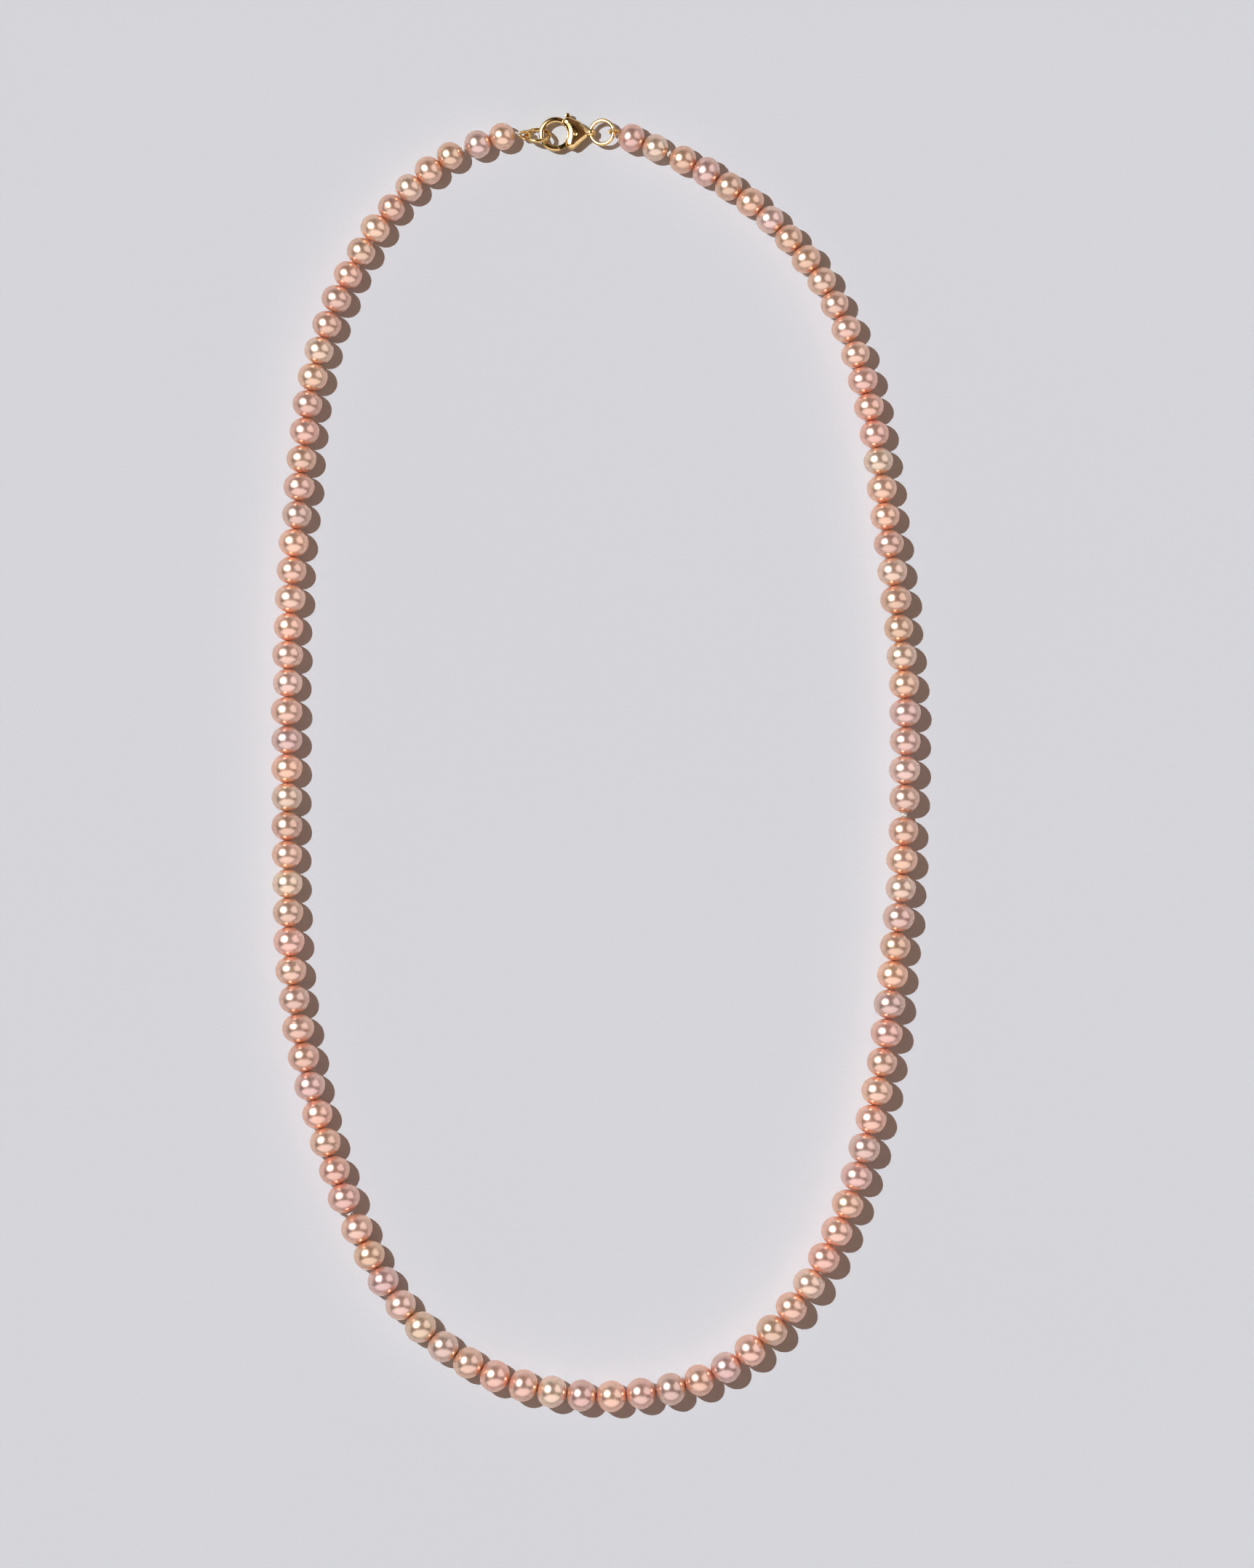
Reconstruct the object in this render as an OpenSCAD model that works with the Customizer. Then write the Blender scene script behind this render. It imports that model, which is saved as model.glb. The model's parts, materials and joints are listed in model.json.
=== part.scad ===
// Pearl necklace, closed, lying flat in a long loop. Millimetres, +Z up, floor at z = 0.
// +Y runs from the middle of the strand to the clasp. Every pearl is a solid of its own with a
// drilled hole, and the silk runs through all of them with a knot at four places.

/* [Pearls] */
// Length along the hole of the pearls next to the clasp
end_pearl_l = 4.55; // [4.4:0.05:4.7]
// Length along the hole of the pearls opposite the clasp
mid_pearl_l = 5.25; // [5.1:0.05:5.4]
// How much wider than long a pearl is
pearl_fatness = 0.4; // [0.2:0.05:0.5]
// Diameter of the drilled hole
hole_d = 0.8; // [0.7:0.05:1]
// Clear gap between neighbouring pearls
pearl_gap = 0.12; // [0.1:0.01:0.16]
// Which of the random sets of small size differences is used
pearl_set = 11; // [1:1:60]

/* [Silk] */
// Diameter of the silk bead cord
silk_d = 0.5; // [0.4:0.05:0.55]
// Diameter of a knot
knot_d = 1.2; // [0.9:0.1:1.4]
// Extra length of silk that a knot takes between two pearls
knot_room = 0.7; // [0.6:0.05:0.8]

/* [Rings and French wire] */
// Radius of a jump ring, to the middle of its wire
ring_r = 2.08; // [2:0.02:2.14]
// Diameter of the jump ring wire
ring_wire_d = 0.72; // [0.6:0.02:0.74]
// Tilt of the left jump ring out of the floor plane, in degrees
left_ring_tilt = 55; // [54:1:60]
// Tilt of the right jump ring out of the floor plane, in degrees
right_ring_tilt = 14; // [10:1:16]
// Radius of a French wire loop, to the middle of its coil
loop_r = 0.74; // [0.72:0.01:0.76]
// Outer diameter of the French wire
french_wire_d = 0.56; // [0.5:0.01:0.58]

/* [Clasp] */
// Radius of the claw's opening
claw_hole_r = 2.05; // [2:0.01:2.1]
// Width of the claw's hook, seen from above
hook_w = 0.9; // [0.8:0.05:0.95]
// Thickness of the claw's hook, up and down
hook_t = 1.05; // [0.9:0.05:1.1]
// Width of the slot that the trigger lever turns in
slot_w = 0.9; // [0.85:0.01:0.95]
// Thickness of the trigger lever
lever_t = 0.78; // [0.7:0.02:0.8]
// Diameter of the lever's pin
pin_d = 0.6; // [0.5:0.02:0.64]

/* [Hidden] */
$fn = 48;
RUNS = 22;
PEARLS = 107;
FIVE_RUNS = 19;
GOLD = [0.86, 0.63, 0.26];
SILK = [0.95, 0.92, 0.88];
PEARL = [0.87, 0.70, 0.66];

function two_digits(k) = k < 10 ? str("0", k) : str(k);

// The runs: nineteen of five pearls from the left end, then three of four.
function first_pearl(k) = k < FIVE_RUNS ? 5 * k : 5 * FIVE_RUNS + 4 * (k - FIVE_RUNS);

// Middle of the strand, from its left end at the clasp round to its right end.
route = [
    [-14.4, 112], [-26, 108], [-36.5, 98.5], [-45.5, 83.5], [-50.5, 66.5], [-52.5, 48],
    [-54, 30.5], [-54.5, 13.5], [-54.5, -2.5], [-54.5, -18.5], [-54, -34], [-52, -49.5],
    [-48, -65.5], [-42.5, -81], [-35, -94.5], [-24, -104.5], [-10, -110], [5.5, -111],
    [20.5, -107.5], [32.5, -98], [41.5, -84.5], [47, -69], [50.5, -52.5], [52.5, -36],
    [54, -19], [54.5, -2.5], [54.5, 13.5], [53, 29.5], [51, 45], [49, 60], [45.5, 74],
    [39.5, 86.5], [30.5, 97], [19, 105.5], [4.2, 112]];
STEPS = 10;
to_middle = [0, 0.8, 0];

// Catmull-Rom curve through the route.
function route_at(i) = i < 0 ? 2 * route[0] - route[1]
    : i >= len(route) ? 2 * route[len(route) - 1] - route[len(route) - 2] : route[i];
function on_span(a, b, c, d, t) =
    (2 * b + (c - a) * t + (2 * a - 5 * b + 4 * c - d) * t * t
     + (3 * b - a - 3 * c + d) * t * t * t) / 2;
curve = [for (i = [0:len(route) - 2]) for (j = [0:STEPS - 1])
    on_span(route_at(i - 1), route[i], route[i + 1], route_at(i + 2), j / STEPS),
    route[len(route) - 1]];
along = [for (i = 0, s = 0; i < len(curve);
    s = s + (i + 1 < len(curve) ? norm(curve[i + 1] - curve[i]) : 0), i = i + 1) s];
x_along = [for (i = [0:len(curve) - 1]) [along[i], curve[i][0]]];
y_along = [for (i = [0:len(curve) - 1]) [along[i], curve[i][1]]];
route_l = along[len(along) - 1];
function at(s) = [lookup(s, x_along), lookup(s, y_along)];

// Pearl sizes: graded from the clasp to the middle, each a little different, and scaled so that
// the strand fills its route.
KNOTS_AFTER = [1, 41, 77, 104];
LENGTH_SPREAD = 0.07;
FATNESS_SPREAD = 0.06;
spread = rands(-1, 1, 2 * PEARLS, pearl_set);
function knot_after(i) = len(search(i, KNOTS_AFTER)) > 0;
function gap_after(i) = i == PEARLS - 1 ? 0 : pearl_gap + (knot_after(i) ? knot_room : 0);
function graded_l(i) = end_pearl_l
    + (mid_pearl_l - end_pearl_l) * sin(180 * (i + 0.5) / PEARLS) + LENGTH_SPREAD * spread[i];
function sum(v, i = 0) = i == len(v) ? 0 : v[i] + sum(v, i + 1);
all_gaps = sum([for (i = [0:PEARLS - 1]) gap_after(i)]);
fit = (route_l - all_gaps) / sum([for (i = [0:PEARLS - 1]) graded_l(i)]);
pearl_l = [for (i = [0:PEARLS - 1]) fit * graded_l(i)];
off_axis = [for (i = [0:PEARLS - 1]) pearl_fatness / 2 + FATNESS_SPREAD * spread[PEARLS + i]];
// A pearl is an arc of this radius, centred off_axis beyond the hole's axis, turned about it.
arc_r = [for (i = [0:PEARLS - 1])
    sqrt(pow(pearl_l[i] / 2, 2) + pow(hole_d / 2 - off_axis[i], 2))];
pearl_r = [for (i = [0:PEARLS - 1]) arc_r[i] + off_axis[i]];
pearl_s = [for (i = 0, s = 0; i < PEARLS; s = s + pearl_l[i] + gap_after(i), i = i + 1) s];

// Where the silk passes from pearl i - 1 to pearl i; 0 and PEARLS are the strand's two ends.
function silk_s(i) = i == 0 ? 0 : i == PEARLS ? route_l : pearl_s[i] - gap_after(i - 1) / 2;
function silk_z(i) = i == 0 ? pearl_r[0] : i == PEARLS ? pearl_r[PEARLS - 1]
    : (pearl_r[i - 1] + pearl_r[i]) / 2;
function lift(p, z) = [p[0], p[1], z];
function silk_at(i) = lift(at(silk_s(i)), silk_z(i));

// One drilled pearl, its hole along Z, its middle at the origin.
module drilled_pearl(i) {
    rotate_extrude()
        intersection() {
            translate([off_axis[i], 0]) circle(arc_r[i]);
            translate([hole_d / 2, -pearl_r[i]]) square(2 * pearl_r[i]);
        }
}

module placed_pearl(i) {
    from = at(pearl_s[i]);
    to = at(pearl_s[i] + pearl_l[i]);
    way = to - from;
    translate(lift((from + to) / 2, pearl_r[i]))
        rotate([0, 90, atan2(way[1], way[0])])
            drilled_pearl(i);
}

module pearl_run(k) {
    color(PEARL)
        for (i = [first_pearl(k):first_pearl(k + 1) - 1]) placed_pearl(i);
}

// The silk is swept as rings of eight sides: [middle, direction, radius].
END_PLAY = 0.04;
KNOT_SHAPE = [[-0.6, 0], [-0.4, 0.7], [0, 1], [0.4, 0.7], [0.6, 0]];
left_turn = [-13.95, 112, 2.36];
function flat_way(a, b) = (lift(b, 0) - lift(a, 0)) / norm(lift(b, 0) - lift(a, 0));
function path_point(k, i) = k == 0 && i == 0 ? left_turn : silk_at(i);
function ring_at(p, way, r) = [for (a = [0:45:315])
    p + r * cos(a) * [-way[1], way[0], 0] + r * sin(a) * [0, 0, 1]];
function rings_at(k, i, a, b) =
    let (p = path_point(k, i),
         way = flat_way(path_point(k, max(i - 1, a)), path_point(k, min(i + 1, b))))
    i == a ? [ring_at(p + END_PLAY * way, way, silk_d / 2)]
    : i == b ? [ring_at(p - END_PLAY * way, way, silk_d / 2)]
    : knot_after(i - 1) ? [for (q = KNOT_SHAPE)
        ring_at(p + q[0] * knot_room * way, way, silk_d / 2 + q[1] * (knot_d - silk_d) / 2)]
    : [ring_at(p, way, silk_d / 2)];

module silk_run(k) {
    a = first_pearl(k);
    b = first_pearl(k + 1);
    rings = [for (i = [a:b]) each rings_at(k, i, a, b)];
    last = len(rings) - 1;
    color(SILK)
        polyhedron(
            points = [for (ring = rings) each ring],
            faces = concat(
                [[for (j = [0:7]) j], [for (j = [7:-1:0]) 8 * last + j]],
                [for (n = [0:last - 1]) for (j = [0:7]) each
                    let (m = (j + 1) % 8)
                    [[8 * n + j, 8 * n + 8 + j, 8 * n + m],
                     [8 * n + m, 8 * n + 8 + j, 8 * n + 8 + m]]]));
}

// Clasp parts share one frame: the middle of the claw's opening, with +X towards the tail.
claw_at = [-7.07, 111.9, 1.7];
eye_at = claw_at + [6.15, 0.3, 0];
right_ring_at = eye_at + ring_r * [cos(right_ring_tilt), 0, sin(right_ring_tilt)];
right_loop_at = eye_at + 2 * ring_r * [cos(right_ring_tilt), 0, sin(right_ring_tilt)]
    + [0.06, 0, 0];
left_ring_at = [-10.3, 111.66, 2.12];
left_loop_at = left_ring_at - [ring_r + 0.06, 0, 0];
RIGHT_LOOP_TURN = 70;

module torus(r, d, turn = 360) {
    rotate_extrude(angle = turn) translate([r, 0]) circle(d = d);
}

module jump_ring_left() {
    color(GOLD) translate(left_ring_at) rotate([-left_ring_tilt, 0, 0]) torus(ring_r, ring_wire_d);
}

module jump_ring_right() {
    color(GOLD) translate(right_ring_at) rotate([0, -right_ring_tilt, 0])
        torus(ring_r, ring_wire_d);
}

// French wire: a fine coil bent into a loop, open where the silk comes in, with the silk inside.
FRENCH_WALL = 0.08;
LOOP_OPENING = 70;
module french_wire_loop() {
    rotate([0, 0, LOOP_OPENING / 2])
        rotate_extrude(angle = 360 - LOOP_OPENING)
            translate([loop_r, 0])
                difference() {
                    circle(d = french_wire_d);
                    circle(d = french_wire_d - 2 * FRENCH_WALL);
                }
}

module silk_loop(stub_l) {
    torus(loop_r, french_wire_d - 2 * FRENCH_WALL - 0.06);
    translate([loop_r, 0, 0]) rotate([0, 90, 0]) cylinder(d = silk_d, h = stub_l);
}

// Loop frames: +X points at the silk's way in, and the loop lies in XY.
module in_left_loop() {
    translate(left_loop_at) rotate([90 - left_ring_tilt, 0, 0])
        rotate([0, 0, 165]) children();
}

module in_right_loop() {
    translate(right_loop_at) rotate([RIGHT_LOOP_TURN, 0, 0])
        rotate([0, 0, -16]) children();
}

module french_wire_left() { color(GOLD) in_left_loop() french_wire_loop(); }
module french_wire_right() { color(GOLD) in_right_loop() french_wire_loop(); }
module silk_loop_left() { color(SILK) in_left_loop() silk_loop(0.78); }
module silk_loop_right() { color(SILK) in_right_loop() silk_loop(0.26); }

// Trigger clasp.
hook_mid_r = claw_hole_r + hook_w / 2;
HOOK_FROM = 48;
HOOK_TO = 287;
HOOK_ROUND = 0.62;
BODY_ROUNDS = [[2.2, 2.0, 1.0], [3.6, 1.25, 1.1], [2.75, -1.72, 0.95], [5.1, 0.15, 0.85]];
SHOULDER_T = 2.1;
DOME_R = 9.5;
DOME_AT = [3.0, 0.1];
lever_pivot = [3.3, -0.1];
TIP_FACE_TURN = 43;
TIP_PLAY = 0.03;
gate_end = hook_mid_r * [cos(281), sin(281)];
eye_hole_r = ring_wire_d / 2 + 0.1;
EYE_T = 0.42;
TAIL_END = 5.6;
EYE_W = 1.2;

module in_clasp() { translate(claw_at) children(); }

// Half-plane beyond the seam between the hook's tip and the gate; side is 1 for the gate's side.
module seam_side(side) {
    translate(gate_end) rotate(90 + TIP_FACE_TURN)
        translate([-5, side > 0 ? -10 - TIP_PLAY : TIP_PLAY]) square([10, 10]);
}

module hook() {
    difference() {
        rotate([0, 0, HOOK_FROM])
            rotate_extrude(angle = HOOK_TO - HOOK_FROM)
                translate([hook_mid_r, 0])
                    intersection() {
                        square([hook_w, hook_t], center = true);
                        circle(HOOK_ROUND);
                    }
        translate([0, 0, -hook_t]) linear_extrude(2 * hook_t)
            intersection() {
                seam_side(1);
                translate([-1, -4]) square([4, 2.6]);
            }
    }
}

// Shoulders: a teardrop outline, domed above and below, and open round the claw.
module shoulders() {
    difference() {
        intersection() {
            translate([0, 0, -SHOULDER_T]) linear_extrude(2 * SHOULDER_T) hull()
                for (b = BODY_ROUNDS)
                    translate([b[0], b[1]]) circle(b[2], $fn = 24);
            translate([DOME_AT[0], DOME_AT[1], SHOULDER_T / 2 - DOME_R]) sphere(DOME_R, $fn = 96);
            translate([DOME_AT[0], DOME_AT[1], DOME_R - SHOULDER_T / 2]) sphere(DOME_R, $fn = 96);
        }
        cylinder(r = claw_hole_r + 0.02, h = 4, center = true);
        translate([TAIL_END, -2, -2]) cube(4);
    }
}

// The tail's eye is a band with a rounded inside, so that the ring's curved wire runs through it.
module tail_eye() {
    arc = (pow(EYE_W / 2, 2) + pow(EYE_T / 2, 2)) / EYE_T;
    mid = eye_hole_r + EYE_T / 2;
    translate(eye_at - claw_at) rotate([90, 0, 0])
        rotate_extrude()
            intersection() {
                translate([mid - EYE_T / 2 + arc, 0]) circle(arc);
                translate([mid + EYE_T / 2 - arc, 0]) circle(arc);
                translate([0, -EYE_W]) square(2 * EYE_W);
            }
}

module clasp_body() {
    color(GOLD) in_clasp() {
        difference() {
            union() {
                hook();
                shoulders();
            }
            translate([1.4, -4, -slot_w / 2]) cube([2.95, 8, slot_w]);
            translate([lever_pivot[0], lever_pivot[1], -2]) cylinder(d = pin_d + 0.03, h = 4);
        }
        tail_eye();
    }
}

// Lever: gate, arm, boss and thumb nub in one flat piece.
GATE_PLAY = 0.05;
module lever_plate() {
    translate([0, 0, -lever_t / 2]) linear_extrude(lever_t) children();
}

module gate_outline() {
    intersection() {
        difference() {
            circle(claw_hole_r + hook_w - GATE_PLAY);
            circle(claw_hole_r + GATE_PLAY);
        }
        polygon([[0, -1], [2.4, -1.2], [2.4, -4], [0, -4]]);
        seam_side(1);
    }
}

module trigger_lever() {
    color(GOLD) in_clasp()
        difference() {
            union() {
                lever_plate() gate_outline();
                lever_plate() polygon([[1.75, -1.55], [2.8, -0.4], [3.7, -0.5], [2.35, -2.2]]);
                lever_plate() translate(lever_pivot) circle(0.62);
                lever_plate() polygon([[2.75, 0.1], [3.85, 0.15], [2.9, 2.6], [2.4, 3.3],
                                       [1.8, 3.3], [1.95, 2.5]]);
                lever_plate() translate([2.08, 3.28]) circle(0.36);
            }
            translate([lever_pivot[0], lever_pivot[1], -1]) cylinder(d = pin_d + 0.08, h = 2);
        }
}

PIN_L = 1.9;
module lever_pin() {
    color(GOLD) in_clasp() translate([lever_pivot[0], lever_pivot[1], -PIN_L / 2])
        cylinder(d = pin_d, h = PIN_L);
}

// A bent leaf spring between the slot's back wall and the lever's upper arm.
SPRING_W = 0.6;
module lever_spring() {
    color("silver") in_clasp() translate([0, 0, -SPRING_W / 2])
        linear_extrude(SPRING_W)
            polygon([[4.1, -0.75], [4.22, -0.75], [4.2, 0.75], [3.5, 1.75], [3.38, 1.7],
                     [4.06, 0.7]]);
}

// The route above is drawn about the clasp's pull line; this moves the whole necklace so that the
// origin is under the middle of its outline.
module framed() { translate(-to_middle) children(); }

for (k = [0:RUNS - 1])
    framed() pearl_run(k);
for (k = [0:RUNS - 1])
    framed() silk_run(k);
framed() silk_loop_left();
framed() silk_loop_right();
framed() french_wire_left();
framed() french_wire_right();
framed() jump_ring_left();
framed() jump_ring_right();
framed() clasp_body();
framed() trigger_lever();
framed() lever_pin();
framed() lever_spring();
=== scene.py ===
"""Looks for the pearl necklace: pearls, silk, French wire, jump rings and clasp, each on its CAD body."""

import json
import math
import random

import bmesh
import bpy
import numpy as np
from mathutils import Matrix, Vector

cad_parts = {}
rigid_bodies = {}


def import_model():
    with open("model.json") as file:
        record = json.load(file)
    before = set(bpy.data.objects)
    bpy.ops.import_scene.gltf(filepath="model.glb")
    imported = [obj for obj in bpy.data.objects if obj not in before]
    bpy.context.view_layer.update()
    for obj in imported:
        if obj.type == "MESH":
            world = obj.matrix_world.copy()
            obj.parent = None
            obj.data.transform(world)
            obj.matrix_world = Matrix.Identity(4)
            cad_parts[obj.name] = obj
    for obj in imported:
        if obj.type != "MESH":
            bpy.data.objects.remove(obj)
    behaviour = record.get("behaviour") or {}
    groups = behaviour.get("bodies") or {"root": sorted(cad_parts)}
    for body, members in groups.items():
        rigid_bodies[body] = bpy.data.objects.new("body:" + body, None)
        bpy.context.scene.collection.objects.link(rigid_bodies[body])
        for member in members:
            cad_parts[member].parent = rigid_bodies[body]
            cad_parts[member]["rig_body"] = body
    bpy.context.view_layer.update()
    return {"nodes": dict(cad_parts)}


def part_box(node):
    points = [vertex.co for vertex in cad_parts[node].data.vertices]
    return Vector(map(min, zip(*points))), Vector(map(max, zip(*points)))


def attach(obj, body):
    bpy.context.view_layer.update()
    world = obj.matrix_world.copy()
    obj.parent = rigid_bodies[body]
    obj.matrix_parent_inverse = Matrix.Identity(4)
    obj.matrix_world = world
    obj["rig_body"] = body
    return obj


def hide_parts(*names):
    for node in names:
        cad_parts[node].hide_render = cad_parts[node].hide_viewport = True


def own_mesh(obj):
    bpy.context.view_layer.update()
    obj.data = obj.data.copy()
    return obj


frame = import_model()

MM = 0.001
BORE_R = 0.4  # mm, radius of a pearl's drilled hole
RING_WIRE_R = 0.36  # mm, of both jump rings
KNOT_GAP = 0.6  # mm, a gap between pearls longer than this holds a knot
X_AXIS, Z_AXIS = np.array([1.0, 0, 0]), np.array([0, 0, 1.0])


# ---------------------------------------------------------------- camera
VIEW_H = 0.27705  # metres of the pearls' plane that the picture's height covers
CAMERA_UP = 0.9  # metres above the pearls' plane
PEARL_PLANE = 0.0025  # metres, the height of the pearls' middles above the floor
LOOKS_AT = (0.0055, -0.0038)  # metres, the point straight below the camera
SENSOR = 36  # mm
camera = bpy.data.objects.new("camera", bpy.data.cameras.new("camera"))
bpy.context.scene.collection.objects.link(camera)
camera.location = (*LOOKS_AT, CAMERA_UP + PEARL_PLANE)
camera.data.sensor_width = SENSOR
camera.data.lens = SENSOR * CAMERA_UP / VIEW_H
camera.data.clip_start, camera.data.clip_end = 0.01, 50
bpy.context.scene.camera = camera
bpy.context.scene.view_settings.view_transform = "Standard"


# ---------------------------------------------------------------- node helpers
class Shader:
    """A node material under construction."""

    def __init__(self, name):
        self.material = bpy.data.materials.new(name)
        self.material.use_nodes = True
        self.tree = self.material.node_tree
        self.bsdf = self.tree.nodes["Principled BSDF"]
        self.coords = self.node("ShaderNodeTexCoord").outputs["Object"]

    def node(self, kind, **settings):
        n = self.tree.nodes.new(kind)
        for key, value in settings.items():
            setattr(n, key, value)
        return n

    def link(self, a, b):
        self.tree.links.new(a, b)

    def set(self, **sockets):
        for key, value in sockets.items():
            self.bsdf.inputs[key.replace("_", " ")].default_value = value

    def noise(self, scale, detail=3.0, rough=0.5, stretch=None):
        n = self.node("ShaderNodeTexNoise")
        n.inputs["Scale"].default_value = scale
        n.inputs["Detail"].default_value = detail
        n.inputs["Roughness"].default_value = rough
        source = self.coords
        if stretch:
            m = self.node("ShaderNodeMapping")
            m.inputs["Scale"].default_value = stretch
            self.link(self.coords, m.inputs["Vector"])
            source = m.outputs["Vector"]
        self.link(source, n.inputs["Vector"])
        return n.outputs["Fac"]

    def ramp(self, fac, *stops):
        r = self.node("ShaderNodeValToRGB")
        while len(r.color_ramp.elements) < len(stops):
            r.color_ramp.elements.new(0.5)
        for e, (at, colour) in zip(r.color_ramp.elements, stops):
            e.position = at
            e.color = (*colour, 1)
        self.link(fac, r.inputs["Fac"])
        return r.outputs["Color"]

    def spread(self, fac, low, high, a=0.35, b=0.65):
        """fac's middle stretched to run from low to high."""
        m = self.node("ShaderNodeMapRange")
        for key, value in zip(("From Min", "From Max", "To Min", "To Max"), (a, b, low, high)):
            m.inputs[key].default_value = value
        self.link(fac, m.inputs["Value"])
        return m.outputs["Result"]

    def mix(self, fac, a, b):
        m = self.node("ShaderNodeMix", data_type="RGBA")
        for socket, value in zip((m.inputs[0], m.inputs[6], m.inputs[7]), (fac, a, b)):
            if isinstance(value, bpy.types.NodeSocket):
                self.link(value, socket)
            else:
                socket.default_value = value if isinstance(value, float) else (*value, 1)
        return m.outputs[2]

    def bump(self, *layers):
        """Layers of (height socket, distance in metres, strength)."""
        last = None
        for height, distance, strength in layers:
            b = self.node("ShaderNodeBump")
            b.inputs["Strength"].default_value = strength
            b.inputs["Distance"].default_value = distance
            self.link(height, b.inputs["Height"])
            if last:
                self.link(last, b.inputs["Normal"])
            last = b.outputs["Normal"]
        self.link(last, self.bsdf.inputs["Normal"])


# ---------------------------------------------------------------- materials
def pearl_material(name, film):
    """Nacre, half mirror and half translucent: the dark ceiling, the windows and the floor show in it."""
    s = Shader(name)
    # tint holds each pearl's body colour and, near its holes, a painted orange glow of light bounced between
    # touching pearls
    tint = s.node("ShaderNodeAttribute", attribute_name="tint").outputs["Color"]
    blotch = s.noise(320, 3)
    body = s.mix(s.spread(blotch, 0.0, 0.16), tint, (0.97, 0.60, 0.46))
    s.link(body, s.bsdf.inputs["Base Color"])
    s.link(s.spread(s.noise(900, 2), 0.21, 0.27), s.bsdf.inputs["Roughness"])
    s.set(Metallic=0.7, Specular_Tint=(1.0, 0.80, 0.70, 1), IOR=1.6, Subsurface_Weight=0.5,
          Subsurface_Radius=(1.0, 0.40, 0.22), Subsurface_Scale=0.0018, Coat_Weight=0.6, Coat_Roughness=0.08,
          Coat_IOR=1.7, Coat_Tint=(1.0, 0.94, 0.90, 1), Thin_Film_Thickness=film, Thin_Film_IOR=1.36,
          Sheen_Weight=0.12, Sheen_Roughness=0.35, Sheen_Tint=(1.0, 0.66, 0.50, 1))
    s.bump((s.noise(260, 1), 0.00002, 0.25), (s.noise(2600, 2), 0.000001, 0.12))
    return s.material


def gold_material(name, rough=0.1, wear=1.0):
    """Polished yellow gold: fine polishing marks, small dull dents and slight tarnish."""
    s = Shader(name)
    tarnish = s.noise(420, 4, 0.6)
    colour = s.ramp(tarnish, (0.30, (0.56, 0.35, 0.13)), (0.55, (0.70, 0.47, 0.20)),
                    (0.8, (0.82, 0.61, 0.32)))
    s.link(colour, s.bsdf.inputs["Base Color"])
    s.link(s.spread(s.noise(1500, 5, 0.65), rough * 0.7, rough * 1.7), s.bsdf.inputs["Roughness"])
    s.set(Metallic=1.0, Specular_Tint=(1.0, 0.93, 0.78, 1))
    dents, marks = s.noise(700, 2), s.noise(5200, 3, stretch=(1, 0.25, 1))
    s.bump((dents, 0.00002 * wear, 0.5), (marks, 0.000006 * wear, 0.5))
    return s.material


def silk_material():
    """White twisted silk, slightly cream in its folds."""
    s = Shader("silk_fibre")
    fibre = s.noise(9000, 3, 0.6, stretch=(0.35, 1, 1))
    s.link(s.ramp(fibre, (0.3, (0.72, 0.65, 0.57)), (0.6, (0.90, 0.87, 0.82))), s.bsdf.inputs["Base Color"])
    s.link(s.spread(fibre, 0.5, 0.75), s.bsdf.inputs["Roughness"])
    s.set(Subsurface_Weight=0.25, Subsurface_Radius=(1.0, 0.8, 0.6), Subsurface_Scale=0.0003,
          Sheen_Weight=0.5, Sheen_Roughness=0.35)
    s.bump((fibre, 0.00002, 0.7))
    return s.material


def steel_material():
    s = Shader("spring_steel_leaf")
    grain = s.noise(2200, 4, stretch=(1, 1, 0.15))
    s.link(s.ramp(grain, (0.3, (0.42, 0.42, 0.44)), (0.7, (0.68, 0.68, 0.70))), s.bsdf.inputs["Base Color"])
    s.link(s.spread(grain, 0.2, 0.38), s.bsdf.inputs["Roughness"])
    s.set(Metallic=1.0)
    s.bump((grain, 0.00001, 0.5))
    return s.material


def floor_material():
    """Matt pale card with a fine grain."""
    s = Shader("pale_card")
    grain = s.noise(2400, 3, 0.7)
    soft = s.noise(9, 2)
    colour = s.ramp(grain, (0.32, (0.770, 0.770, 0.790)), (0.68, (0.800, 0.800, 0.816)))
    s.link(s.mix(s.spread(soft, 0.0, 0.05), colour, (0.88, 0.87, 0.88)), s.bsdf.inputs["Base Color"])
    s.set(Roughness=1.0, Specular_IOR_Level=0.0)
    s.bump((grain, 0.00004, 0.25))
    return s.material


PEARL_KINDS = {  # body colour, thin film in nanometres, share of the strand
    "rose": ((0.85, 0.57, 0.46), 330.0, 0.34),
    "peach": ((0.87, 0.58, 0.43), 390.0, 0.36),
    "cream": ((0.86, 0.66, 0.51), 430.0, 0.10),
    "lavender": ((0.81, 0.58, 0.52), 520.0, 0.20),
}
pearl_materials = {k: pearl_material("nacre_" + k, v[1]) for k, v in PEARL_KINDS.items()}
gold = gold_material("polished_gold")
gold_coil = gold_material("coiled_gold", 0.2, 0.4)
silk = silk_material()
steel = steel_material()


# ---------------------------------------------------------------- mesh helpers
def new_object(name, verts, faces, material, at=(0, 0, 0)):
    """A smooth mesh object from points in millimetres about a point also in millimetres."""
    me = bpy.data.meshes.new(name)
    me.from_pydata((np.asarray(verts) * MM).tolist(), [], faces)
    me.update()
    me.polygons.foreach_set("use_smooth", [True] * len(me.polygons))
    me.materials.append(material)
    o = bpy.data.objects.new(name, me)
    o.location = Vector(at) * MM
    bpy.context.scene.collection.objects.link(o)
    return o


def grid_faces(rows, columns, closed_rows=False, closed_columns=True):
    """Quads between neighbouring points of a grid, counted row by row."""
    r, c = np.meshgrid(np.arange(rows if closed_rows else rows - 1),
                       np.arange(columns if closed_columns else columns - 1), indexing="ij")
    r, c = r.ravel(), c.ravel()
    r2, c2 = (r + 1) % rows, (c + 1) % columns
    corners = (r * columns + c, r * columns + c2, r2 * columns + c2, r2 * columns + c)
    return np.stack(corners, 1).tolist()


def unit(v):
    return v / np.linalg.norm(v, axis=-1, keepdims=True)


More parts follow.
